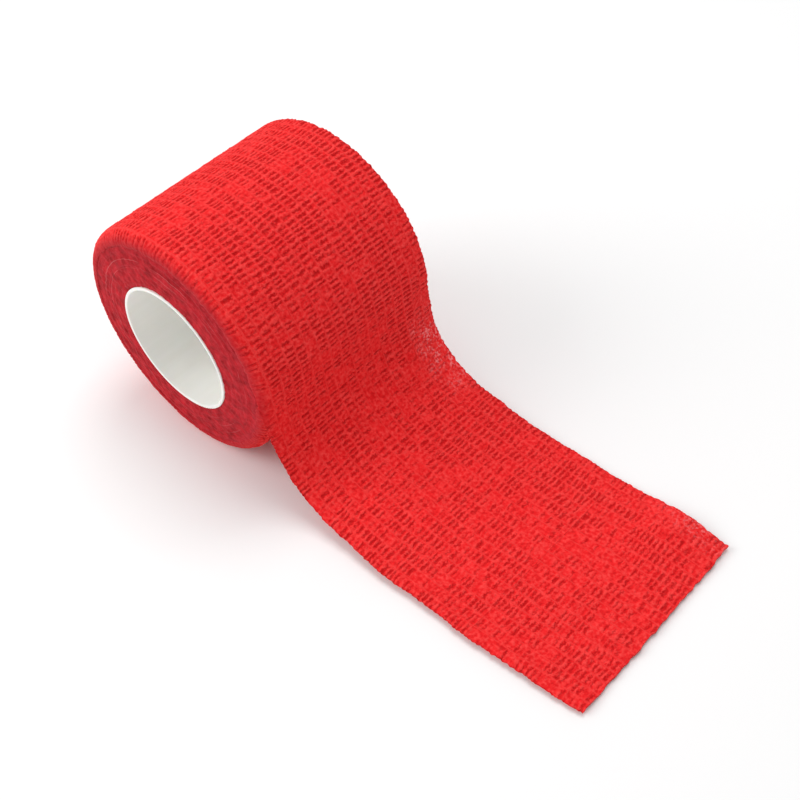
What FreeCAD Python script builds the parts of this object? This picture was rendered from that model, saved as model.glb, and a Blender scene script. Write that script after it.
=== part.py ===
"""Roll of self-gripping elastic hand wrap, lying on its side with its free end paid out.

The roll's axis is Y and the free end runs out along +X on the surface below. The origin is
the centre of the core tube's bore. Everything is in millimetres.

The strip is one gathered web with elastic threads bonded into its outer face. It is split
where it can move: the outermost turn and the span that leaves it, a short flat run that
slides out with the payout, and the end that lifts off the surface.
"""

import FreeCAD
import Part
import math
import os

import Sketcher

Vector = FreeCAD.Vector

ORIGIN_POINT = (-1, 1)
X_AXIS_LINE = -1
START, END, CENTRE = 1, 2, 3

SAME_PLACE = 1e-6
VOLUME_SHARE_ALLOWED = 0.01

SIZES = (
    ("strip_width", 50.0),
    ("strip_thickness", 0.8),
    ("roll_radius", 28.6),
    ("core_outer_radius", 15.6),
    ("core_bore_radius", 14.8),
    ("core_edge_round", 0.2),
    ("running_gap", 0.3),
    ("pack_end_setback", 0.4),
    ("near_edge_round", 2.4),
    ("far_edge_round", 0.8),
    ("outer_turn_degrees", 345.0),
    ("thread_count", 17),
    ("thread_pitch", 2.8),
    ("thread_width", 0.5),
    ("thread_depth", 0.3),
    ("drop_radius", 57.0),
    ("drop_degrees", 8.0),
    ("sweep_degrees", 71.0),
    ("touchdown_x", 76.3),
    ("lift_line_x", 84.0),
    ("free_end_x", 109.8),
)


def make_sheet(doc):
    """Put the driving dimensions in a spreadsheet, one named cell each."""
    sheet = doc.addObject("Spreadsheet::Sheet", "Sizes")
    for row, (alias, value) in enumerate(SIZES, start=1):
        sheet.set(f"A{row}", alias)
        sheet.set(f"B{row}", str(value))
        sheet.setAlias(f"B{row}", alias)
    doc.recompute()
    return sheet


def size(doc, formula):
    """Work out a formula of spreadsheet aliases as a plain number."""
    return float(doc.Sizes.evalExpression(formula))


def make_body(doc, label):
    """Start a sub-part; its label is also the name of its file."""
    body = doc.addObject("PartDesign::Body", label)
    body.Label = label
    body.AllowCompound = True
    body.Placement = FreeCAD.Placement()
    return body


def make_sketch(body, name, role, height=None):
    """Attach a sketch to one of the body's own origin planes, at a bound height above it."""
    sketch = body.newObject("Sketcher::SketchObject", name)
    plane = next(item for item in body.Origin.OriginFeatures if item.Role == role)
    sketch.AttachmentSupport = [(plane, "")]
    sketch.MapMode = "FlatFace"
    if height:
        sketch.setExpression("AttachmentOffset.Base.z", height)
    return sketch


def constrain(sketch, kind, *where, formula):
    """Add a dimension to the sketch and bind it to a formula of the spreadsheet."""
    value = size(sketch.Document, formula)
    if kind == "Angle":
        value = math.radians(value)
    index = sketch.addConstraint(Sketcher.Constraint(kind, *where, value))
    sketch.setExpression(f"Constraints[{index}]", formula)


def draw_rectangle(sketch, left, right, low, high):
    """Draw a rectangle whose four sides are each bound to a formula."""
    doc = sketch.Document
    x0, x1, y0, y1 = (size(doc, formula) for formula in (left, right, low, high))
    corners = (Vector(x0, y0), Vector(x1, y0), Vector(x1, y1), Vector(x0, y1))
    lines = [
        sketch.addGeometry(Part.LineSegment(corners[i], corners[(i + 1) % 4]), False)
        for i in range(4)
    ]
    for i in range(4):
        sketch.addConstraint(
            Sketcher.Constraint("Coincident", lines[i], END, lines[(i + 1) % 4], START)
        )
        direction = "Horizontal" if i % 2 == 0 else "Vertical"
        sketch.addConstraint(Sketcher.Constraint(direction, lines[i]))
    constrain(sketch, "DistanceX", *ORIGIN_POINT, lines[0], START, formula=left)
    constrain(sketch, "DistanceX", *ORIGIN_POINT, lines[0], END, formula=right)
    constrain(sketch, "DistanceY", *ORIGIN_POINT, lines[0], START, formula=low)
    constrain(sketch, "DistanceY", *ORIGIN_POINT, lines[2], START, formula=high)


def draw_circle(sketch, radius):
    """Draw a circle about the sketch's origin with a bound radius."""
    circle = Part.Circle(Vector(), Vector(0, 0, 1), size(sketch.Document, radius))
    index = sketch.addGeometry(circle, False)
    sketch.addConstraint(Sketcher.Constraint("Coincident", index, CENTRE, *ORIGIN_POINT))
    constrain(sketch, "Radius", index, formula=radius)


def add_feature(body, kind, name, **settings):
    """Add a PartDesign feature with its settings and make it the body's tip."""
    feature = body.newObject("PartDesign::" + kind, name)
    for key, value in settings.items():
        setattr(feature, key, value)
    body.Tip = feature
    return feature


def repeat_across_width(body, feature):
    """Repeat one thread or its groove at the thread pitch across the strip's width."""
    pattern = add_feature(
        body,
        "LinearPattern",
        "across_width",
        Originals=[feature],
        Direction=(feature.Profile[0], ["V_Axis"]),
        Length=size(body.Document, "Sizes.thread_pitch * (Sizes.thread_count - 1)"),
        Occurrences=int(size(body.Document, "Sizes.thread_count")),
    )
    pattern.setExpression("Length", "Sizes.thread_pitch * (Sizes.thread_count - 1)")
    pattern.setExpression("Occurrences", "Sizes.thread_count")


WIDTH_EDGES = ("-Sizes.strip_width / 2", "Sizes.strip_width / 2")
FIRST_THREAD = "-Sizes.thread_pitch * (Sizes.thread_count - 1) / 2"
THREAD_EDGES = (
    FIRST_THREAD + " - Sizes.thread_width / 2",
    FIRST_THREAD + " + Sizes.thread_width / 2",
)
ROLL_FACE = "Sizes.roll_radius"
UNDER_STRIP = "Sizes.roll_radius - Sizes.strip_thickness"
UNDER_THREAD = "Sizes.roll_radius - Sizes.thread_depth"
STRIP_TOP = "-Sizes.roll_radius + Sizes.strip_thickness"


def draw_web_section(sketch):
    """The strip's section where it leaves the roll: full width, inside the roll's surface."""
    draw_rectangle(sketch, UNDER_STRIP, ROLL_FACE, *WIDTH_EDGES)


def draw_thread_section(sketch):
    """The first thread's section, let into the strip's outer face."""
    draw_rectangle(sketch, UNDER_THREAD, ROLL_FACE, *THREAD_EDGES)


def outer_edge(feature, doc, radius, side):
    """Name the circular edge at a radius on one end face of a turned shape."""
    names = []
    for index, edge in enumerate(feature.Shape.Edges, start=1):
        box = edge.BoundBox
        flat = box.YLength < SAME_PLACE and box.YMin * side > 0
        if flat and abs(box.XMax - size(doc, radius)) < SAME_PLACE:
            names.append(f"Edge{index}")
    return names


def make_core_tube(doc):
    """Thin plastic tube that the strip is wound on, with its rims just broken."""
    body = make_body(doc, "core_tube")
    section = make_sketch(body, "tube_section", "XZ_Plane")
    draw_circle(section, "Sizes.core_outer_radius")
    draw_circle(section, "Sizes.core_bore_radius")
    tube = add_feature(body, "Pad", "tube", Profile=section, Midplane=True)
    tube.setExpression("Length", "Sizes.strip_width")
    doc.recompute()
    rims = [
        name
        for radius in ("Sizes.core_outer_radius", "Sizes.core_bore_radius")
        for side in (-1, 1)
        for name in outer_edge(tube, doc, radius, side)
    ]
    rounded = add_feature(body, "Fillet", "rims", Base=(tube, rims))
    rounded.setExpression("Radius", "Sizes.core_edge_round")


def make_wound_pack(doc):
    """The inner turns as one solid, softly rounded where the strip's edges give way."""
    body = make_body(doc, "wound_pack")
    section = make_sketch(body, "pack_section", "XY_Plane")
    draw_rectangle(
        section,
        "Sizes.core_outer_radius",
        UNDER_STRIP + " - Sizes.running_gap",
        "-Sizes.strip_width / 2 + Sizes.pack_end_setback",
        "Sizes.strip_width / 2 - Sizes.pack_end_setback",
    )
    add_feature(
        body, "Revolution", "pack", Profile=section, ReferenceAxis=(section, ["V_Axis"]), Angle=360
    )
    doc.recompute()
    for name, side, radius in (
        ("near_edge", -1, "Sizes.near_edge_round"),
        ("far_edge", 1, "Sizes.far_edge_round"),
    ):
        base = body.Tip
        edges = outer_edge(base, doc, UNDER_STRIP + " - Sizes.running_gap", side)
        rounded = add_feature(body, "Fillet", name, Base=(base, edges))
        rounded.setExpression("Radius", radius)
        doc.recompute()


def turn_about_roll(body, kind, name, section):
    """Turn a section about the roll's axis, from the leaving point back over the top."""
    feature = add_feature(
        body, kind, name, Profile=section, ReferenceAxis=(section, ["V_Axis"]), Reversed=True
    )
    feature.setExpression("Angle", "Sizes.outer_turn_degrees")
    return feature


def make_outer_turn(doc):
    """Web of the outermost turn, open below the place where the strip leaves the roll."""
    body = make_body(doc, "outer_turn")
    section = make_sketch(body, "web_section", "XY_Plane")
    draw_web_section(section)
    turn_about_roll(body, "Revolution", "web", section)
    groove_section = make_sketch(body, "groove_section", "XY_Plane")
    draw_thread_section(groove_section)
    groove = turn_about_roll(body, "Groove", "thread_groove", groove_section)
    repeat_across_width(body, groove)


def make_outer_turn_threads(doc):
    """Elastic threads bonded into the outermost turn."""
    body = make_body(doc, "outer_turn_threads")
    section = make_sketch(body, "thread_section", "XY_Plane")
    draw_thread_section(section)
    thread = turn_about_roll(body, "Revolution", "thread", section)
    repeat_across_width(body, thread)


def span_arcs(doc):
    """Centres, radii and angles of the three tangent arcs of the leaving span.

    The outer face starts straight down at the roll's side and ends level at the
    touch-down. The drop's radius and the first two turns are given; the other two radii
    follow from where the span has to land.
    """
    first = size(doc, "Sizes.drop_radius")
    turns = [
        math.radians(angle)
        for angle in (
            180,
            180 + size(doc, "Sizes.drop_degrees"),
            180 + size(doc, "Sizes.drop_degrees") + size(doc, "Sizes.sweep_degrees"),
            270,
        )
    ]
    cosines = [math.cos(angle) for angle in turns]
    sines = [math.sin(angle) for angle in turns]
    start_x = size(doc, ROLL_FACE)
    across = size(doc, "Sizes.touchdown_x") - start_x - first * (cosines[1] - cosines[0])
    down = size(doc, STRIP_TOP) - first * (sines[1] - sines[0])
    a, b = cosines[2] - cosines[1], cosines[3] - cosines[2]
    c, d = sines[2] - sines[1], sines[3] - sines[2]
    share = a * d - b * c
    radii = (first, (across * d - b * down) / share, (a * down - across * c) / share)
    arcs = []
    x, z = start_x, 0.0
    for radius, begin, finish in zip(radii, turns, turns[1:]):
        centre = Vector(x - radius * math.cos(begin), z - radius * math.sin(begin))
        arcs.append((centre, radius, begin, finish))
        x = centre.x + radius * math.cos(finish)
        z = centre.y + radius * math.sin(finish)
    return arcs


def draw_span_path(doc, sketch):
    """Draw the leaving span's outer face as three tangent arcs, fully constrained."""
    drop, sweep, landing = (
        sketch.addGeometry(
            Part.ArcOfCircle(Part.Circle(centre, Vector(0, 0, 1), radius), begin, finish), False
        )
        for centre, radius, begin, finish in span_arcs(doc)
    )
    sketch.addConstraint(Sketcher.Constraint("Tangent", drop, END, sweep, START))
    sketch.addConstraint(Sketcher.Constraint("Tangent", sweep, END, landing, START))
    sketch.addConstraint(Sketcher.Constraint("PointOnObject", drop, START, X_AXIS_LINE))
    sketch.addConstraint(Sketcher.Constraint("PointOnObject", drop, CENTRE, X_AXIS_LINE))
    sketch.addConstraint(Sketcher.Constraint("Vertical", landing, END, landing, CENTRE))
    constrain(sketch, "DistanceX", *ORIGIN_POINT, drop, START, formula=ROLL_FACE)
    constrain(sketch, "Radius", drop, formula="Sizes.drop_radius")
    constrain(sketch, "Angle", drop, formula="Sizes.drop_degrees")
    constrain(sketch, "Angle", sweep, formula="Sizes.sweep_degrees")
    constrain(sketch, "DistanceX", *ORIGIN_POINT, landing, END, formula="Sizes.touchdown_x")
    constrain(sketch, "DistanceY", *ORIGIN_POINT, landing, END, formula=STRIP_TOP)


def sweep_down_span(doc, body, kind, name, section):
    """Sweep a section of the strip along the leaving span."""
    path = make_sketch(body, name + "_path", "XZ_Plane")
    draw_span_path(doc, path)
    doc.recompute()
    return add_feature(
        body, kind, name, Profile=section, Spine=(path, ["Edge1", "Edge2", "Edge3"])
    )


def make_leaving_span(doc):
    """Web of the strip from the roll's side down to where it touches the surface."""
    body = make_body(doc, "leaving_span")
    section = make_sketch(body, "web_section", "XY_Plane")
    draw_web_section(section)
    sweep_down_span(doc, body, "AdditivePipe", "web", section)
    groove_section = make_sketch(body, "groove_section", "XY_Plane")
    draw_thread_section(groove_section)
    groove = sweep_down_span(doc, body, "SubtractivePipe", "thread_groove", groove_section)
    repeat_across_width(body, groove)


def make_leaving_span_threads(doc):
    """Elastic threads bonded into the leaving span."""
    body = make_body(doc, "leaving_span_threads")
    section = make_sketch(body, "thread_section", "XY_Plane")
    draw_thread_section(section)
    thread = sweep_down_span(doc, body, "AdditivePipe", "thread", section)
    repeat_across_width(body, thread)


def make_flat_web(doc, label, start, finish):
    """Web of a flat stretch of the strip lying on the surface."""
    body = make_body(doc, label)
    outline = make_sketch(body, "outline", "XY_Plane", height="-Sizes.roll_radius")
    draw_rectangle(outline, start, finish, *WIDTH_EDGES)
    web = add_feature(body, "Pad", "web", Profile=outline)
    web.setExpression("Length", "Sizes.strip_thickness")
    groove_outline = make_sketch(body, "groove_outline", "XY_Plane", height=STRIP_TOP)
    draw_rectangle(groove_outline, start, finish, *THREAD_EDGES)
    groove = add_feature(body, "Pocket", "thread_groove", Profile=groove_outline)
    groove.setExpression("Length", "Sizes.thread_depth")
    repeat_across_width(body, groove)


def make_flat_threads(doc, label, start, finish):
    """Elastic threads bonded into a flat stretch of the strip."""
    body = make_body(doc, label)
    outline = make_sketch(body, "outline", "XY_Plane", height=STRIP_TOP)
    draw_rectangle(outline, start, finish, *THREAD_EDGES)
    thread = add_feature(body, "Pad", "thread", Profile=outline, Reversed=True)
    thread.setExpression("Length", "Sizes.thread_depth")
    repeat_across_width(body, thread)


def check_objects(doc):
    """Stop if any object failed or any sub-part has no valid solid."""
    for item in doc.Objects:
        if "Invalid" in item.State or "Error" in item.State:
            raise RuntimeError(f"{item.Label} did not compute: {item.State}")
    for body in doc.findObjects("PartDesign::Body"):
        if body.Shape.isNull() or not body.Shape.isValid() or not body.Shape.Solids:
            raise RuntimeError(f"{body.Label} has no valid solid")


def check_threads_fill_grooves(doc, label):
    """Stop if the grooves cut from a web don't hold just what its threads fill."""
    body = doc.getObject(label)
    threads = doc.getObject(label + "_threads").Shape
    whole = next(item for item in body.Group if item.isDerivedFrom("PartDesign::Feature"))
    cut = whole.Shape.Volume - body.Shape.Volume
    if len(threads.Solids) != int(size(doc, "Sizes.thread_count")):
        raise RuntimeError(f"{label} has {len(threads.Solids)} threads")
    if abs(cut - threads.Volume) > VOLUME_SHARE_ALLOWED * threads.Volume:
        raise RuntimeError(f"{label}: grooves of {cut:.1f} mm3, threads {threads.Volume:.1f} mm3")


def write_parts(doc):
    """Write each sub-part to its own file."""
    os.makedirs("parts", exist_ok=True)
    for body in doc.findObjects("PartDesign::Body"):
        body.Shape.exportStep(f"parts/{body.Label}.step")
        box = body.Shape.BoundBox
        print(
            f"{body.Label}: {len(body.Shape.Solids)} solids, {body.Shape.Volume:.0f} mm3, "
            f"x {box.XMin:.2f} to {box.XMax:.2f}, z {box.ZMin:.2f} to {box.ZMax:.2f}"
        )


def main():
    doc = FreeCAD.newDocument("hand_wrap")
    make_sheet(doc)
    make_core_tube(doc)
    make_wound_pack(doc)
    make_outer_turn(doc)
    make_outer_turn_threads(doc)
    make_leaving_span(doc)
    make_leaving_span_threads(doc)
    half_gap = " Sizes.running_gap / 2"
    stretches = (
        ("tail_run", "Sizes.touchdown_x + Sizes.running_gap", "Sizes.lift_line_x -" + half_gap),
        ("tail_end", "Sizes.lift_line_x +" + half_gap, "Sizes.free_end_x"),
    )
    for label, start, finish in stretches:
        make_flat_web(doc, label, start, finish)
        make_flat_threads(doc, label + "_threads", start, finish)
    doc.recompute()
    check_objects(doc)
    for label in ("outer_turn", "leaving_span", "tail_run", "tail_end"):
        check_threads_fill_grooves(doc, label)
    arcs = span_arcs(doc)
    free = sum(radius * (finish - begin) for _, radius, begin, finish in arcs)
    flat = size(doc, "Sizes.free_end_x - Sizes.touchdown_x")
    print(f"leaving span {free:.1f} mm along its outer face, then {flat:.1f} mm flat")
    print("span radii", ", ".join(f"{arc[1]:.1f}" for arc in arcs))
    write_parts(doc)


main()
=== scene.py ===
"""Roll of self-gripping elastic hand wrap with its free end paid out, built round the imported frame.

Lengths in this script are millimetres until a mesh is made, which turns them into metres.
On the strip, `along` runs from the line where it leaves the roll: negative back over the
roll, positive down the leaving span and out to the free end. `across` runs along the roll's
axis, and is negative at the near edge.
"""

import math

import bpy
import numpy as np
from mathutils import Matrix, Vector


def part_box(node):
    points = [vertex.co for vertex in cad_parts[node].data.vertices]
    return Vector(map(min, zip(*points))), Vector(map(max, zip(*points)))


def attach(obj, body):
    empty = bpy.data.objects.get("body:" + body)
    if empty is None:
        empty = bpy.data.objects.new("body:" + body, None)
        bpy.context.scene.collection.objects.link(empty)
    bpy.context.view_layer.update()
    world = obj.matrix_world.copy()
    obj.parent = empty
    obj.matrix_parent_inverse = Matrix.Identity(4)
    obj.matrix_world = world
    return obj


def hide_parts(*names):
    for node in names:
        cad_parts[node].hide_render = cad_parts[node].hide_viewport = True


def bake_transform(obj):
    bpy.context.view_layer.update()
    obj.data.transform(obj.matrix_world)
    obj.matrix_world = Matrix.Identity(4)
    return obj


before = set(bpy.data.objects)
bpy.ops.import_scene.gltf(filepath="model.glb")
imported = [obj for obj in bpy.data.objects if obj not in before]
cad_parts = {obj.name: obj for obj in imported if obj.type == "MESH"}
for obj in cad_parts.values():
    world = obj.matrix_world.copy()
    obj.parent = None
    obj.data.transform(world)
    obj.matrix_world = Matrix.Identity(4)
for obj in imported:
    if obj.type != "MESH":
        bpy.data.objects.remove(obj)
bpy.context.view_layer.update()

MM = 0.001


def in_mm(point):
    """A point of the frame in millimetres."""
    return [coordinate / MM for coordinate in point]


TURN_LOW, TURN_HIGH = map(in_mm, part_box("outer_turn"))
SPAN_HIGH = in_mm(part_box("leaving_span")[1])
RUN_LOW, RUN_HIGH = map(in_mm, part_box("tail_run"))
END_LOW, END_HIGH = map(in_mm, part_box("tail_end"))
PACK_HIGH = in_mm(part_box("wound_pack")[1])
CORE_HIGH = in_mm(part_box("core_tube")[1])

# The strip, from the frame.
ROLL_RADIUS = TURN_HIGH[2]
FLOOR = TURN_LOW[2]
HALF_WIDTH = TURN_HIGH[1]
THICKNESS = RUN_HIGH[2] - RUN_LOW[2]
TOUCHDOWN = SPAN_HIGH[0]
LIFT_LINE = (RUN_HIGH[0] + END_LOW[0]) / 2
FREE_END = END_HIGH[0]
CORE_RADIUS = CORE_HIGH[2]
PACK_RADIUS = PACK_HIGH[2]

# The leaving span is three tangent arcs; the last two radii follow from where it lands.
DROP_RADIUS = 57.0
DROP_TURN = math.radians(8)
SWEEP_TURN = math.radians(71)

# The cloth's make-up. A turn is thinner on the roll, where it is wound tight.
THREAD_PITCH = 2.8
THREAD_COUNT = 17
THREAD_RADIUS = 0.12
PLEAT_PITCH = 1.25
WOUND_THICKNESS = 0.53

# How the strip lies: its near edge rolls over on to the roll's end, and its outermost turn
# runs nearly right round, tucked under the leaving span. The back lies BACK_DEPTH under the
# outer face, and a skirt SKIRT_DEPTH deep closes each edge of the roll's turn.
SHOULDER = 3.4
END_SETBACK = 0.4
BACK_DEPTH = 0.72 * THICKNESS
SKIRT_DEPTH = 1.6 * THICKNESS
FLOOR_CLEARANCE = 0.02
TURN_BACK = math.radians(358)
TUCK_STARTS = math.radians(250)
ROLLOVER_TURN = 1.5

# How the paid-out cloth stands off its mean line: all over, along its near edge, and in a
# low ridge towards the far corner. It lies a little wider where it has been let go.
LOOSE_LIFT = 0.35
NEAR_LIFT, NEAR_LIFT_WIDTH = 0.6, 4.5
RIDGE_AT, RIDGE_LENGTH, RIDGE_HEIGHT = 86.0, 7.5, 1.9
RELAXED_WIDTH = 1.3

# The relief of its face, on the roll and as it changes along the paid-out strip.
SLOT_DEPTH, SLOT_DEPTH_LOST = 0.19, 0.07
CRUMPLE, CRUMPLE_GAINED = 0.06, 0.07
CREST_HEIGHT = 0.06
THREAD_RIDGE_HEIGHT, THREAD_RIDGE_WIDTH = 0.03, 0.3

# How far in from their outer radius the inner turns round off, at the near and the far end.
PACK_NEAR_SHOULDER = 3.2
PACK_FAR_SHOULDER = 0.7

CORE_WALL = 0.8

# Spacing of the mesh's points, fine enough to hold a pleat.
ROW_STEP = 0.25
COLUMN_STEP = 0.42
THREAD_STEP = 0.7
THREAD_SIDES = 6
PACK_SEGMENTS = 288
SAMPLES_PER_TURN = 6

# How far before the lift line the web is cut in two.
LAP = 2.0

# Widths of the finishes' fine patterns.
TUFT = 0.6
TORN_PATCH = 0.9
WEB_FIBRE = 0.75
WEB_BLOTCH = 3.0
THREAD_COVER = 0.6
EDGE_BLOTCH = 1.8
EDGE_FIBRE = 0.9
STRAY_LENGTH = 7.0

# Seeded tables: smooth noise repeats after this many lumps, cells after this many each way.
NOISE_LUMPS = 257
CELL_LANES, CELLS_ALONG = 64, 512


# ---------------------------------------------------------------- noise and curves


def smooth(low, high, value):
    """Rise from 0 at low to 1 at high with no corner."""
    share = np.clip((value - low) / (high - low), 0, 1)
    return share * share * (3 - 2 * share)


def cloud(seed, u, v=0.0):
    """Seeded smooth noise from -1 to 1, one lump per unit of u and v."""
    lattice = np.random.default_rng(seed).uniform(-1, 1, (NOISE_LUMPS, NOISE_LUMPS))
    u, v = np.broadcast_arrays(np.asarray(u, float), np.asarray(v, float))
    column, row = np.floor(u).astype(int), np.floor(v).astype(int)
    across, up = smooth(0, 1, u - column), smooth(0, 1, v - row)
    here, beside = column % NOISE_LUMPS, (column + 1) % NOISE_LUMPS
    low, high = row % NOISE_LUMPS, (row + 1) % NOISE_LUMPS
    near = lattice[here, low] * (1 - across) + lattice[beside, low] * across
    far = lattice[here, high] * (1 - across) + lattice[beside, high] * across
    return near * (1 - up) + far * up


def span_arcs():
    """Centre, radius and end angles of the three arcs that the leaving span follows."""
    angles = np.cumsum([math.pi, DROP_TURN, SWEEP_TURN])
    angles = np.append(angles, 1.5 * math.pi)
    cosines, sines = np.diff(np.cos(angles)), np.diff(np.sin(angles))
    gap = np.array([TOUCHDOWN - ROLL_RADIUS, FLOOR + THICKNESS])
    gap -= DROP_RADIUS * np.array([cosines[0], sines[0]])
    radii = np.linalg.solve(np.array([cosines[1:], sines[1:]]), gap)
    arcs, point = [], np.array([ROLL_RADIUS, 0.0])
    for radius, begin, finish in zip((DROP_RADIUS, *radii), angles, angles[1:]):
        centre = point - radius * np.array([math.cos(begin), math.sin(begin)])
        arcs.append((centre, radius, begin, finish))
        point = centre + radius * np.array([math.cos(finish), math.sin(finish)])
    return arcs


ARCS = span_arcs()
SPAN_LENGTH = sum(radius * (finish - begin) for _, radius, begin, finish in ARCS)
TAIL_LENGTH = SPAN_LENGTH + FREE_END - TOUCHDOWN
TURN_LENGTH = ROLL_RADIUS * TURN_BACK


def strip_line(along):
    """Place and outward direction of the strip's outer face in the X-Z plane."""
    along = np.asarray(along, float)
    x, z = np.zeros_like(along), np.zeros_like(along)
    out_x, out_z = np.zeros_like(along), np.ones_like(along)
    turned = np.maximum(-along, 0) / ROLL_RADIUS
    tuck = THICKNESS * smooth(TUCK_STARTS, TURN_BACK, turned)
    on_roll = along < 0
    x = np.where(on_roll, (ROLL_RADIUS - tuck) * np.cos(turned), x)
    z = np.where(on_roll, (ROLL_RADIUS - tuck) * np.sin(turned), z)
    out_x = np.where(on_roll, np.cos(turned), out_x)
    out_z = np.where(on_roll, np.sin(turned), out_z)
    reached = 0.0
    for centre, radius, begin, finish in ARCS:
        length = radius * (finish - begin)
        here = (along >= reached) & (along < reached + length)
        angle = begin + (along - reached) / radius
        x = np.where(here, centre[0] + radius * np.cos(angle), x)
        z = np.where(here, centre[1] + radius * np.sin(angle), z)
        out_x = np.where(here, -np.cos(angle), out_x)
        out_z = np.where(here, -np.sin(angle), out_z)
        reached += length
    flat = along >= reached
    x = np.where(flat, TOUCHDOWN + along - reached, x)
    z = np.where(flat, FLOOR + THICKNESS, z)
    return x, z, out_x, out_z


# ---------------------------------------------------------------- the cloth's relief


def cloth_places(along, across):
    """Where a point lies among the threads and the pleats, counted in pitches."""
    slack = 0.3 + 0.7 * smooth(0, 40, along)
    drift = 0.25 * slack * cloud(11, along / 14, across / 7)
    drift = drift + 0.08 * cloud(12, along / 2.3, across / 2.9)
    thread_place = (across + drift) / THREAD_PITCH
    lane = np.floor(thread_place)
    bend = 0.24 * cloud(21, along / 9, across / 8) + 0.07 * cloud(22, along / 1.1, across / 0.9)
    own = 0.45 * cloud(23, along / 3, 0.7 * lane) + 0.3 * cloud(24, lane * 0.7)
    return thread_place, along / PLEAT_PITCH + bend + own


def cell_noise(seed, thread_place, pleat_place):
    """One random value from 0 to 1 for each cell between two threads and two pleats."""
    table = np.random.default_rng(seed).uniform(0, 1, (CELL_LANES, CELLS_ALONG))
    lane, cell = np.floor(thread_place).astype(int), np.floor(pleat_place).astype(int)
    return table[lane % CELL_LANES, cell % CELLS_ALONG]


def held_down(along):
    """1 where the strip is wound on the roll, fading to 0 where it has left it."""
    return smooth(12, -10, along)


def rolled_over(along, across):
    """How far the near edge has rolled over on to the roll's end: 0 on the face, 1 at the edge."""
    past = np.clip((SHOULDER - HALF_WIDTH - across) / SHOULDER, 0, 1)
    return smooth(0.3, 0.95, past) * held_down(along)


def slot_weight(along, across):
    """How far the slot of a cell is open: 1 wide, 0 pressed shut, in patches and by cell.

    Slots are less open where the strip has relaxed, round the back of the roll, and where the
    strip is pulled flat as it leaves.
    """
    patch = 0.5 * cloud(31, along / 7, across / 5) + 0.35 * cloud(32, along / 3, across / 2.9)
    bias = 0.74 - 0.32 * smooth(15, 50, along) - 0.45 * smooth(-45, -90, along)
    bias = bias - 0.42 * smooth(-9, 3, along) * smooth(36, 16, along)
    own = 1.2 * (cell_noise(33, *cloth_places(along, across)) - 0.5)
    return smooth(-0.5, 1.1, patch + bias + own) * (1 - 0.8 * rolled_over(along, across))


def slot_shape(thread_place, pleat_place, weight):
    """1 in the middle of an open slot, 0 on the pleats and by the threads."""
    off_thread = np.abs(thread_place - np.round(thread_place)) * THREAD_PITCH
    opened = 0.85 * weight - np.cos(2 * math.pi * pleat_place)
    return smooth(0.85, 1.8, opened) * smooth(0.2, 0.65, off_thread)


def stretched_thin(along, across):
    """Where the span is pulled so thin by the far edge that light would come through it: its slots are
    made shallower here, and the web's shader paints pale light into them.
    """
    pulled = smooth(3, 12, along) * smooth(32, 20, along) * smooth(15, 22, across)
    corner = smooth(76, 88, along) * smooth(19, 24, across) * 0.5
    return np.maximum(pulled, corner) * (0.55 + 0.45 * cloud(36, along / 2, across / 2))


def cloth_height(along, across):
    """Height of the outer face above the strip's mean outer face."""
    places = cloth_places(along, across)
    weight = slot_weight(along, across)
    off_thread = np.abs(places[0] - np.round(places[0])) * THREAD_PITCH
    thread = np.exp(-((off_thread / THREAD_RIDGE_WIDTH) ** 2))
    depth = SLOT_DEPTH - SLOT_DEPTH_LOST * smooth(20, 60, along)
    depth = depth * (1 - stretched_thin(along, across))
    crumple = CRUMPLE + CRUMPLE_GAINED * smooth(10, 50, along)
    crest = CREST_HEIGHT * np.cos(2 * math.pi * places[1]) * weight
    height = crest - depth * slot_shape(*places, weight) + THREAD_RIDGE_HEIGHT * thread
    return height + crumple * cloud(41, along / 1.3, across / 1.2)


def edge_fray(seed, along):
    """How far a long edge stands out, in bumps where the pleats end."""
    bumps = 0.16 * np.abs(np.cos(math.pi * along / PLEAT_PITCH + 3 * cloud(seed, along / 3)))
    slow = 0.1 + 0.18 * smooth(0, 30, along)
    return bumps + 0.14 * cloud(seed + 1, along / 0.9) + slow * cloud(seed + 2, along / 7)


def lie_of_the_tail(along, across):
    """How far the paid-out strip stands off its mean line, as limp cloth does."""
    loose = smooth(8, 45, along)
    lift = loose * LOOSE_LIFT * (1 + cloud(51, along / 21, across / 17))
    near = np.exp(-(((across + HALF_WIDTH) / NEAR_LIFT_WIDTH) ** 2)) * smooth(35, 60, along)
    lift = lift + NEAR_LIFT * near * (1 - 0.5 * smooth(80, TAIL_LENGTH, along))
    far = smooth(8, HALF_WIDTH, across)
    ridge = np.exp(-(((along - RIDGE_AT) / RIDGE_LENGTH) ** 2))
    return lift + RIDGE_HEIGHT * far * ridge


def relaxed_width(along):
    """How much wider the near side lies where the strip has been let go."""
    return RELAXED_WIDTH * smooth(15, 52, along) * smooth(TAIL_LENGTH, 64, along)


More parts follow.
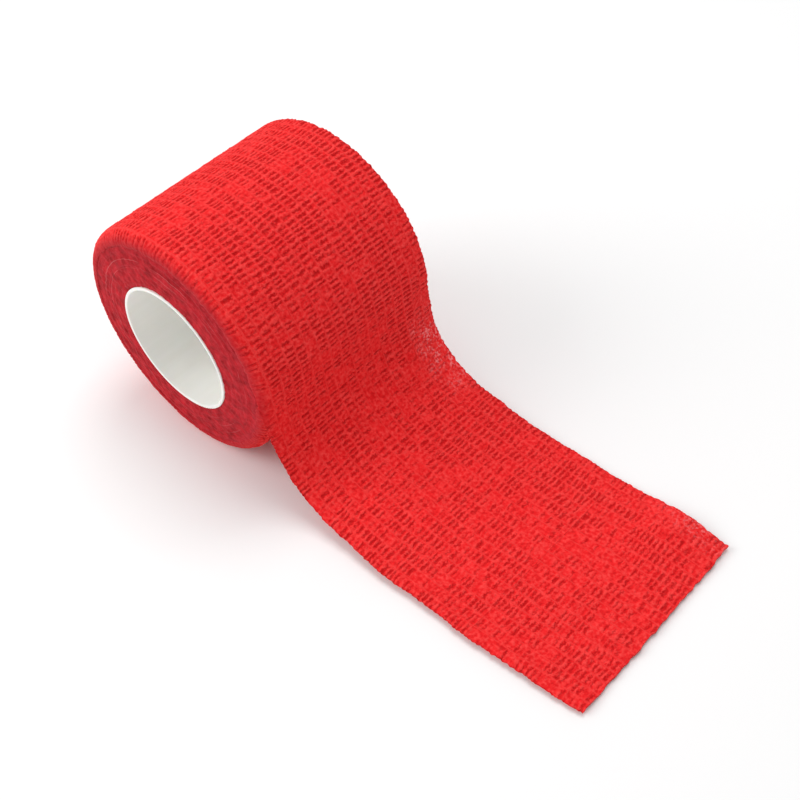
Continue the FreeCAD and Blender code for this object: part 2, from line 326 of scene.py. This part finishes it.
def place_on_strip(along, across, height):
    """Points of the strip, `height` above its mean outer face."""
    fray = np.where(across > 0, edge_fray(61, along), -edge_fray(71, along))
    sideways = across + fray * smooth(HALF_WIDTH - 3.5, HALF_WIDTH, np.abs(across))
    past_end = smooth(TAIL_LENGTH - 5, TAIL_LENGTH, along)
    along = along + past_end * (0.2 * cloud(81, across / 1.3) + 0.2 * cloud(82, across / 10) - 0.2)
    held = held_down(along)
    start = HALF_WIDTH - SHOULDER
    past = np.maximum(-sideways - start, 0) / SHOULDER
    curl = past * ROLLOVER_TURN * held
    drop = SHOULDER * (1 - np.cos(curl))
    curled = -start - SHOULDER * np.sin(curl) - SHOULDER * past * (1 - held)
    side = np.where(past > 0, curled, sideways)
    inward = smooth(0, HALF_WIDTH, -across)
    side = side + inward * (END_SETBACK * held - relaxed_width(along))
    x, z, out_x, out_z = strip_line(along)
    up = height * np.cos(curl) - drop + np.where(along > 0, lie_of_the_tail(along, across), 0)
    side = side - height * np.sin(curl)
    rests = np.maximum(z + out_z * up, FLOOR + FLOOR_CLEARANCE)
    return np.stack([x + out_x * up, side, rests], axis=-1)


# ---------------------------------------------------------------- mesh making


def new_piece(name, points, faces, material, attributes=None):
    """Make a mesh piece from points in millimetres and quads, with its point attributes."""
    mesh = bpy.data.meshes.new(name)
    points = np.asarray(points, np.float32).reshape(-1, 3) * MM
    faces = np.asarray(faces, np.int32).reshape(-1, 4)
    mesh.vertices.add(len(points))
    mesh.vertices.foreach_set("co", points.ravel())
    mesh.loops.add(faces.size)
    mesh.loops.foreach_set("vertex_index", faces.ravel())
    mesh.polygons.add(len(faces))
    mesh.polygons.foreach_set("loop_start", np.arange(0, faces.size, 4, dtype=np.int32))
    mesh.update(calc_edges=True)
    mesh.polygons.foreach_set("use_smooth", np.full(len(faces), True))
    for key, values in (attributes or {}).items():
        layer = mesh.attributes.new(key, "FLOAT", "POINT")
        layer.data.foreach_set("value", np.asarray(values, np.float32).ravel())
    mesh.materials.append(material)
    piece = bpy.data.objects.new(name, mesh)
    bpy.context.scene.collection.objects.link(piece)
    return piece


def grid_faces(rows, columns, first=0, round_rows=False, round_columns=False):
    """Quads of a grid of points stored row by row; a round way joins its last to its first."""
    row_count = rows if round_rows else rows - 1
    column_count = columns if round_columns else columns - 1
    row, column = np.meshgrid(np.arange(row_count), np.arange(column_count), indexing="ij")
    below, beside = (row + 1) % rows, (column + 1) % columns
    corners = (row * columns + column, below * columns + column)
    corners += (below * columns + beside, row * columns + beside)
    return first + np.stack(corners, axis=-1).reshape(-1, 4)


def rim_faces(rows, columns):
    """Quads that join the outline of a grid to that of a second grid stored after it."""
    top = np.arange(rows * columns).reshape(rows, columns)
    outline = np.concatenate([top[0, :-1], top[:-1, -1], top[-1, :0:-1], top[:0:-1, 0]])
    after = np.roll(outline, -1)
    back = rows * columns
    return np.stack([outline, after, after + back, outline + back], axis=-1)


def cloth_grid(begin, finish):
    """Evenly spaced along and across values over a stretch of the strip."""
    rows = int(round((finish - begin) / ROW_STEP)) + 1
    columns = int(round(2 * HALF_WIDTH / COLUMN_STEP)) + 1
    return np.meshgrid(
        np.linspace(begin, finish, rows), np.linspace(-HALF_WIDTH, HALF_WIDTH, columns), indexing="ij"
    )


def make_cloth(name, begin, finish, material, both_faces=True):
    """A stretch of the web with its pleats; the roll's turn shows its outer face only."""
    along, across = cloth_grid(begin, finish)
    thread_place, pleat_place = cloth_places(along, across)
    upper = cloth_height(along, across)
    edge = smooth(HALF_WIDTH - 0.9, HALF_WIDTH, np.abs(across))
    upper = upper - 0.28 * edge
    if not both_faces:
        along, across = (np.pad(grid, ((0, 0), (1, 1)), "edge") for grid in (along, across))
        thread_place, pleat_place = cloth_places(along, across)
        upper = np.pad(upper, ((0, 0), (1, 1)), constant_values=-SKIRT_DEPTH)
    layers = [place_on_strip(along, across, upper)]
    rows, columns = along.shape
    faces = [grid_faces(rows, columns)]
    if both_faces:
        lower = -BACK_DEPTH + 0.2 * upper + 0.22 * edge
        layers.append(place_on_strip(along, across, lower))
        faces.append(grid_faces(rows, columns, rows * columns)[:, ::-1])
        faces.append(rim_faces(rows, columns)[:, ::-1])
    count = len(layers)
    attributes = {
        "thread_place": np.stack([thread_place] * count),
        "pleat_place": np.stack([pleat_place] * count),
        "slot_weight": np.stack([slot_weight(along, across)] * count),
        "stretched_thin": np.stack([stretched_thin(along, across)] * count),
        "rolled_over": np.stack([rolled_over(along, across)] * count),
    }
    faces = np.concatenate(faces)
    return new_piece(name, np.concatenate(layers), faces, material, attributes)


def make_threads(name, begin, finish, material):
    """The elastic threads over a stretch of the strip, as thin tubes let into its face."""
    steps = int((finish - begin) / THREAD_STEP) + 1
    turns = np.linspace(0, 2 * math.pi, THREAD_SIDES, endpoint=False)
    line = np.linspace(begin, finish, steps)
    points, faces = [], []
    for index in range(THREAD_COUNT):
        place = (index - (THREAD_COUNT - 1) / 2) * THREAD_PITCH
        across = np.full(steps, place)
        for _ in range(4):
            across = across - (cloth_places(line, across)[0] * THREAD_PITCH - place)
        thick = THREAD_RADIUS * (1 + 0.25 * cloud(91, line / 1.1, index))
        centre = cloth_height(line, across) - 0.08 + 0.1 * cloud(92, line / 1.5, index)
        along = np.repeat(line[:, None], THREAD_SIDES, axis=1)
        around = across[:, None] + thick[:, None] * np.cos(turns)
        height = centre[:, None] + thick[:, None] * np.sin(turns)
        points.append(place_on_strip(along, around, height).reshape(-1, 3))
        first = index * steps * THREAD_SIDES
        faces.append(grid_faces(steps, THREAD_SIDES, first, round_columns=True))
    return new_piece(name, np.concatenate(points), np.concatenate(faces), material)


def make_pack(material):
    """The inner turns, whose edges show as a tight spiral at both ends of the roll."""
    angle = np.linspace(0, 2 * math.pi, PACK_SEGMENTS, endpoint=False)
    core_clearance, turn_clearance, lumps_per_turn = 0.03, 0.05, 9.0
    inner = CORE_RADIUS + core_clearance
    outer = PACK_RADIUS - turn_clearance
    rings = int((outer - inner) / WOUND_THICKNESS * SAMPLES_PER_TURN)
    radius = np.linspace(inner, outer, rings)
    turned, spread = np.meshgrid(angle, radius, indexing="ij")
    layer = (spread - inner) / WOUND_THICKNESS - turned / (2 * math.pi) + 1
    number = np.floor(layer)
    length = (number + turned / (2 * math.pi)) * lumps_per_turn

    def end_face(side, seed, shoulder):
        crown = 0.02 * (1 - (2 * (layer - number) - 1) ** 2)
        stagger = 0.04 * cloud(seed, length / 3.1) + 0.02 * cloud(seed + 1, number * 7.3)
        fuzz = 0.10 * cloud(seed + 2, turned * 28, spread / 0.8)
        fuzz = fuzz + 0.12 * cloud(seed + 3, turned * 9, spread / 1.7)
        past = np.maximum(spread - (outer - shoulder), 0) / shoulder
        rounded = shoulder * 0.75 * (1 - np.sqrt(np.clip(1 - past**2, 0, 1)))
        near_core = 0.08 * smooth(inner + 1.2, inner, spread)
        setback = END_SETBACK * smooth(inner + 1, outer - 2, spread) if side < 0 else 0
        reach = HALF_WIDTH - 0.25 - setback + crown + stagger + fuzz - rounded - near_core
        return side * reach, crown + stagger

    near, near_height = end_face(-1, 101, PACK_NEAR_SHOULDER)
    far, far_height = end_face(1, 111, PACK_FAR_SHOULDER)
    loop_radius = np.concatenate([spread, spread[:, ::-1]], axis=1)
    loop_across = np.concatenate([near, far[:, ::-1]], axis=1)
    heights = np.concatenate([near_height, far_height[:, ::-1]], axis=1)
    angles = np.concatenate([turned, turned], axis=1)
    points = np.stack(
        [loop_radius * np.cos(angles), loop_across, loop_radius * np.sin(angles)], axis=-1
    )
    faces = grid_faces(PACK_SEGMENTS, points.shape[1], round_rows=True, round_columns=True)
    facing_out = faces[:, [0, 3, 2, 1]]
    attributes = {"layer_height": heights, "roll_radius": loop_radius}
    return new_piece("wound_turns", points, facing_out, material, attributes)


# ---------------------------------------------------------------- materials


def linear(code):
    """A colour's sRGB hex code as linear red, green, blue and full alpha."""
    shares = [int(code[place : place + 2], 16) / 255 for place in (0, 2, 4)]
    return [s / 12.92 if s <= 0.04045 else ((s + 0.055) / 1.055) ** 2.4 for s in shares] + [1.0]


def add(tree, kind, inputs=None, **settings):
    """Add a node with its settings; each input is a value or another node's output."""
    node = tree.nodes.new("ShaderNode" + kind)
    for key, value in settings.items():
        setattr(node, key, value)
    for socket, value in (inputs or {}).items():
        if isinstance(value, bpy.types.NodeSocket):
            tree.links.new(value, node.inputs[socket])
        else:
            node.inputs[socket].default_value = value
    return node


def start_material(name, finish):
    """A material holding one Principled shader with the finish's constant values."""
    material = bpy.data.materials.new(name)
    material.use_nodes = True
    shader = material.node_tree.nodes["Principled BSDF"]
    for socket, value in finish.items():
        shader.inputs[socket].default_value = value
    return material, material.node_tree, shader


def crepe_web():
    """Crinkled polyester non-woven with a tacky latex coat: matt red, painted shade in its open slots
    and on its rolled-over near edge, painted highlights on pleat crests and raised fibres, painted
    light through its thin parts, and a soft pink bloom at a grazing look."""
    finish = {
        "Roughness": 0.78,
        "IOR": 1.5,
        "Specular IOR Level": 0.15,
        "Sheen Weight": 0.07,
        "Sheen Roughness": 0.45,
        "Sheen Tint": linear("FF8A86"),
    }
    material, tree, shader = start_material("crinkled_non_woven", finish)
    thread_place = add(tree, "Attribute", attribute_name="thread_place").outputs["Fac"]
    pleat_place = add(tree, "Attribute", attribute_name="pleat_place").outputs["Fac"]
    weight = add(tree, "Attribute", attribute_name="slot_weight").outputs["Fac"]
    thin = add(tree, "Attribute", attribute_name="stretched_thin").outputs["Fac"]
    over = add(tree, "Attribute", attribute_name="rolled_over").outputs["Fac"]
    place = add(tree, "TexCoord").outputs["Object"]

    ragged = add(
        tree, "TexNoise", {"Vector": place, "Scale": 1 / (TUFT * MM), "Detail": 3.0}
    ).outputs["Fac"]
    torn = add(
        tree, "TexNoise", {"Vector": place, "Scale": 1 / (TORN_PATCH * MM), "Detail": 2.0}
    ).outputs["Fac"]
    nudge = add(tree, "Math", {0: ragged, 1: 1.2, 2: -0.6}, operation="MULTIPLY_ADD").outputs[0]
    pleat = add(tree, "Math", {0: pleat_place, 1: nudge}, operation="ADD").outputs[0]
    full_turn = add(tree, "Math", {0: pleat, 1: 2 * math.pi}, operation="MULTIPLY").outputs[0]
    wave = add(tree, "Math", {0: full_turn}, operation="COSINE").outputs[0]
    opened = add(tree, "Math", {0: weight, 1: 0.85, 2: torn}, operation="MULTIPLY_ADD").outputs[0]
    opened = add(tree, "Math", {0: opened, 1: wave}, operation="SUBTRACT").outputs[0]
    valley = add(tree, "MapRange", {0: opened, 1: 1.45, 2: 2.25}, interpolation_type="SMOOTHSTEP")
    ridge = add(tree, "MapRange", {0: wave, 1: 0.45, 2: 0.95}, interpolation_type="SMOOTHSTEP")
    off_thread = add(tree, "Math", {0: thread_place, 1: 0.5}, operation="PINGPONG").outputs[0]
    clear = add(tree, "MapRange", {0: off_thread, 1: 0.06, 2: 0.2}, interpolation_type="SMOOTHSTEP")
    slot = add(tree, "Math", {0: valley.outputs[0], 1: clear.outputs[0]}, operation="MULTIPLY")
    slot = slot.outputs[0]
    ridge = add(tree, "Math", {0: ridge.outputs[0], 1: weight}, operation="MULTIPLY").outputs[0]
    thread = add(tree, "MapRange", {0: off_thread, 1: 0.08, 2: 0.02}, interpolation_type="SMOOTHSTEP")
    thread = add(tree, "Math", {0: thread.outputs[0], 1: torn}, operation="MULTIPLY").outputs[0]
    line = add(tree, "Math", {0: thread, 1: ridge}, operation="MAXIMUM").outputs[0]

    mottle = add(
        tree, "TexNoise", {"Vector": place, "Scale": 1 / (WEB_BLOTCH * MM), "Detail": 5.0}
    ).outputs["Fac"]
    fibre = add(
        tree, "TexNoise", {"Vector": place, "Scale": 1 / (WEB_FIBRE * MM), "Detail": 4.0}
    ).outputs["Fac"]
    base = add(
        tree, "Mix", {0: mottle, 6: linear("DA0F14"), 7: linear("FA2326")}, data_type="RGBA"
    ).outputs[2]
    # Fibre grain at random, painted lighter on raised fibres as a highlight and darker on low ones as
    # shade, following the same noise as the bump.
    raised_fibre_highlight = add(tree, "MapRange", {0: fibre, 1: 0.45, 2: 0.7, 4: 0.65}).outputs[0]
    fibre_shaded_colour = add(tree, "Mix", {0: raised_fibre_highlight, 6: base, 7: linear("FF504D")}, data_type="RGBA").outputs[2]
    low_fibre_shade = add(tree, "MapRange", {0: fibre, 1: 0.45, 2: 0.28, 4: 0.5}).outputs[0]
    fibre_shaded_colour = add(tree, "Mix", {0: low_fibre_shade, 6: fibre_shaded_colour, 7: linear("B4060C")}, data_type="RGBA").outputs[2]
    # Lighter lines: along the threads this is their own paler colour; on the pleat crests it is a
    # painted highlight.
    thread_tone_and_crest_highlight = add(tree, "Math", {0: line, 1: 0.6}, operation="MULTIPLY").outputs[0]
    thread_and_crest_highlight_colour = add(tree, "Mix", {0: thread_tone_and_crest_highlight, 6: fibre_shaded_colour, 7: linear("FF4A46")}, data_type="RGBA").outputs[2]
    # Painted shade: open slots are painted dark red for the shade inside them; where the web is
    # stretched thin the slot colour turns to a painted pale pink, standing for light coming through.
    under = add(
        tree, "Mix", {0: thin, 6: linear("B80307"), 7: linear("EE4248")}, data_type="RGBA"
    ).outputs[2]
    deep = add(tree, "Math", {0: slot, 1: 0.65}, operation="MULTIPLY").outputs[0]
    faced = add(tree, "Mix", {0: deep, 6: thread_and_crest_highlight_colour, 7: under}, data_type="RGBA").outputs[2]
    # Painted light: pale pink specks where the web is stretched thin, standing for light coming through
    # it.
    glow_speck_share = add(tree, "MapRange", {0: ragged, 1: 0.5, 2: 0.62, 4: 0.75}).outputs[0]
    glow_speck_share = add(tree, "Math", {0: glow_speck_share, 1: thin}, operation="MULTIPLY", use_clamp=True).outputs[0]
    faced = add(tree, "Mix", {0: glow_speck_share, 6: faced, 7: linear("FFA6A8")}, data_type="RGBA").outputs[2]
    # Painted shade: where the near edge rolls over on to the roll's end, the web is painted a darker
    # crimson, like the roll's shaded end.
    rolled_edge_shade_colour = add(tree, "Mix", {0: mottle, 6: linear("A2131E"), 7: linear("BE2530")}, data_type="RGBA")
    rolled_edge_shade_share = add(tree, "Math", {0: over, 1: 0.85}, operation="MULTIPLY").outputs[0]
    colour = add(tree, "Mix", {0: rolled_edge_shade_share, 6: faced, 7: rolled_edge_shade_colour.outputs[2]}, data_type="RGBA")
    tree.links.new(colour.outputs[2], shader.inputs["Base Color"])

    raised = add(tree, "Math", {0: slot, 1: -0.75, 2: fibre}, operation="MULTIPLY_ADD").outputs[0]
    raised = add(tree, "Math", {0: line, 1: 0.35, 2: raised}, operation="MULTIPLY_ADD").outputs[0]
    bump = add(tree, "Bump", {"Strength": 0.7, "Distance": 0.26 * MM, "Height": raised})
    tree.links.new(bump.outputs[0], shader.inputs["Normal"])
    return material


def elastic_thread():
    """Covered elastane thread, slightly lighter and smoother than the web it is bonded to."""
    finish = {
        "Roughness": 0.6,
        "IOR": 1.5,
        "Specular IOR Level": 0.2,
        "Sheen Weight": 0.12,
        "Sheen Roughness": 0.4,
        "Sheen Tint": linear("FF9490"),
    }
    material, tree, shader = start_material("covered_elastane_thread", finish)
    place = add(tree, "TexCoord").outputs["Object"]
    lay = add(tree, "TexNoise", {"Vector": place, "Scale": 1 / (THREAD_COVER * MM), "Detail": 3.0})
    colour = add(
        tree,
        "Mix",
        {0: lay.outputs["Fac"], 6: linear("DE2023"), 7: linear("FA3C3A")},
        data_type="RGBA",
    )
    tree.links.new(colour.outputs[2], shader.inputs["Base Color"])
    bump = add(
        tree, "Bump", {"Strength": 0.4, "Distance": 0.06 * MM, "Height": lay.outputs["Fac"]}
    )
    tree.links.new(bump.outputs[0], shader.inputs["Normal"])
    return material


def layered_edges():
    """Edges of the wound turns: the same web seen end on, with the crest of each turn painted
    a paler pink as a highlight, so darker between the turns, and pale stray fibres along a few of them."""
    finish = {
        "Roughness": 0.85,
        "IOR": 1.5,
        "Specular IOR Level": 0.15,
        "Sheen Weight": 0.05,
        "Sheen Roughness": 0.5,
        "Sheen Tint": linear("FF8F92"),
    }
    material, tree, shader = start_material("wound_web_edges", finish)
    height = add(tree, "Attribute", attribute_name="layer_height").outputs["Fac"]
    radius = add(tree, "Attribute", attribute_name="roll_radius").outputs["Fac"]
    place = add(tree, "TexCoord").outputs["Object"]
    patchy = add(tree, "TexNoise", {"Vector": place, "Scale": 1 / (EDGE_BLOTCH * MM), "Detail": 5.0})
    mottle = add(tree, "MapRange", {0: patchy.outputs["Fac"], 1: 0.28, 2: 0.72}).outputs[0]
    fibre = add(tree, "TexNoise", {"Vector": place, "Scale": 1 / (EDGE_FIBRE * MM), "Detail": 4.0})
    base = add(
        tree,
        "Mix",
        {0: mottle, 6: linear("8E030D"), 7: linear("D0212C")},
        data_type="RGBA",
    ).outputs[2]
    # Painted highlight: the raised crest of each turn is painted a paler pink, leaving the colour
    # darker between the turns.
    raised = add(tree, "MapRange", {0: height, 1: -0.05, 2: 0.15}).outputs[0]
    raised = add(tree, "Math", {0: raised, 1: fibre.outputs["Fac"]}, operation="MULTIPLY").outputs[0]
    crest = add(tree, "Mix", {0: raised, 6: base, 7: linear("B83440")}, data_type="RGBA").outputs[2]
    drawn = add(tree, "TexNoise", {"W": radius, "Scale": 1.9, "Detail": 2.0}, noise_dimensions="1D")
    few = add(tree, "MapRange", {0: drawn.outputs["Fac"], 1: 0.66, 2: 0.73}).outputs[0]
    broken = add(tree, "TexNoise", {"Vector": place, "Scale": 1 / (STRAY_LENGTH * MM), "Detail": 2.0})
    here = add(tree, "MapRange", {0: broken.outputs["Fac"], 1: 0.48, 2: 0.62}).outputs[0]
    stray = add(tree, "Math", {0: few, 1: here}, operation="MULTIPLY").outputs[0]
    stray = add(tree, "Math", {0: stray, 1: 0.28}, operation="MULTIPLY").outputs[0]
    colour = add(tree, "Mix", {0: stray, 6: crest, 7: linear("F09A9A")}, data_type="RGBA")
    tree.links.new(colour.outputs[2], shader.inputs["Base Color"])
    bump = add(
        tree, "Bump", {"Strength": 0.8, "Distance": 0.25 * MM, "Height": fibre.outputs["Fac"]}
    )
    tree.links.new(bump.outputs[0], shader.inputs["Normal"])
    return material


def extruded_core():
    """Extruded natural-white polypropylene, satin, with faint drawing lines along the tube and
    a little light scattered inside its thin wall."""
    finish = {
        "Roughness": 0.42,
        "IOR": 1.49,
        "Subsurface Weight": 0.1,
        "Subsurface Scale": CORE_WALL * MM,
    }
    material, tree, shader = start_material("extruded_polypropylene", finish)
    place = add(tree, "TexCoord").outputs["Object"]
    drawn = add(tree, "Mapping", {"Vector": place, "Scale": (900.0, 30.0, 900.0)}).outputs[0]
    lines = add(tree, "TexNoise", {"Vector": drawn, "Scale": 1.0, "Detail": 2.0}).outputs["Fac"]
    colour = add(
        tree, "Mix", {0: lines, 6: linear("F6F5EF"), 7: linear("FCFBF7")}, data_type="RGBA"
    )
    tree.links.new(colour.outputs[2], shader.inputs["Base Color"])
    rough = add(tree, "MapRange", {0: lines, 3: 0.36, 4: 0.5}).outputs[0]
    tree.links.new(rough, shader.inputs["Roughness"])
    bump = add(tree, "Bump", {"Strength": 0.15, "Distance": 0.03 * MM, "Height": lines})
    tree.links.new(bump.outputs[0], shader.inputs["Normal"])
    return material


# ---------------------------------------------------------------- pieces on the frame


def build_wrap():
    """Make every piece; set the roll's turn, its threads and the inner turns on their bodies."""
    web, thread, edges = crepe_web(), elastic_thread(), layered_edges()
    split = SPAN_LENGTH + LIFT_LINE - LAP - TOUCHDOWN

    turn = make_cloth("outer_turn_web", -TURN_LENGTH, 0, web, both_faces=False)
    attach(turn, "strip")
    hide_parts("outer_turn")
    turn_threads = make_threads("outer_turn_elastics", -TURN_LENGTH, 0, thread)
    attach(turn_threads, "strip")
    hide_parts("outer_turn_threads")

    span = make_cloth("paid_out_web", 0, split, web)
    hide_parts("leaving_span", "tail_run")
    span_threads = make_threads("paid_out_elastics", 0, split, thread)
    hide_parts("leaving_span_threads", "tail_run_threads")
    for piece in (span, span_threads):
        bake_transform(piece)

    free = make_cloth("free_end_web", split, TAIL_LENGTH, web)
    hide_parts("tail_end")
    free_threads = make_threads("free_end_elastics", split, TAIL_LENGTH - 0.3, thread)
    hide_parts("tail_end_threads")
    for piece in (free, free_threads):
        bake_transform(piece)

    pack = make_pack(edges)
    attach(pack, "spool")
    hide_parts("wound_pack")

    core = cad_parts["core_tube"]
    core.data.materials.clear()
    core.data.materials.append(extruded_core())


# ---------------------------------------------------------------- studio and camera


def make_floor():
    """Plain pale floor under the roll."""
    paper, _, _ = start_material("matt_white_paper", {"Base Color": linear("FAFAFA"), "Roughness": 0.9})
    reach = 3000.0
    corners = [(-reach, -reach), (reach, -reach), (reach, reach), (-reach, reach)]
    points = [(x, y, FLOOR) for x, y in corners]
    floor = new_piece("floor", points, [(0, 1, 2, 3)], paper)


def make_light(name, place, size, power):
    """A soft white square lamp that faces the roll."""
    lamp = bpy.data.lights.new(name, "AREA")
    lamp.size = size * MM
    lamp.energy = power
    holder = bpy.data.objects.new(name, lamp)
    holder.location = Vector(place) * MM
    holder.rotation_euler = (-holder.location).to_track_quat("-Z", "Y").to_euler()
    bpy.context.scene.collection.objects.link(holder)


def make_studio():
    """Even white surround, a soft lamp overhead and one by the roll's near end."""
    world = bpy.data.worlds.new("studio_surround")
    world.use_nodes = True
    backdrop = world.node_tree.nodes["Background"]
    backdrop.inputs["Color"].default_value = linear("FFFFFF")
    backdrop.inputs["Strength"].default_value = 0.55
    bpy.context.scene.world = world
    bpy.context.scene.view_settings.view_transform = "Standard"
    make_light("overhead_softbox", place=(-40, 180, 700), size=400, power=2.2)
    make_light("near_softbox", place=(-380, -450, 430), size=450, power=2.2)


def make_camera():
    """Camera above the free end's near side, looking down along the strip to the roll."""
    azimuth, elevation, roll = math.radians(46.48), math.radians(47.64), -0.096
    distance = 282.8
    aim = Vector((35.1, 6.8, -18.9))
    back = Vector((
        math.sin(azimuth) * math.cos(elevation),
        -math.cos(azimuth) * math.cos(elevation),
        math.sin(elevation),
    ))
    right = Vector((math.cos(azimuth), math.sin(azimuth), 0))
    up = back.cross(right)
    axis_x = right * math.cos(roll) + up * math.sin(roll)
    axis_y = up * math.cos(roll) - right * math.sin(roll)
    lens = bpy.data.cameras.new("camera")
    lens.sensor_width = 36
    lens.lens = 57.04
    lens.clip_start = 10 * MM
    camera = bpy.data.objects.new("camera", lens)
    turn = Matrix((axis_x, axis_y, back)).transposed().to_4x4()
    camera.matrix_world = Matrix.Translation((aim + back * distance) * MM) @ turn
    bpy.context.scene.collection.objects.link(camera)
    bpy.context.scene.camera = camera


make_camera()
make_studio()
make_floor()
build_wrap()
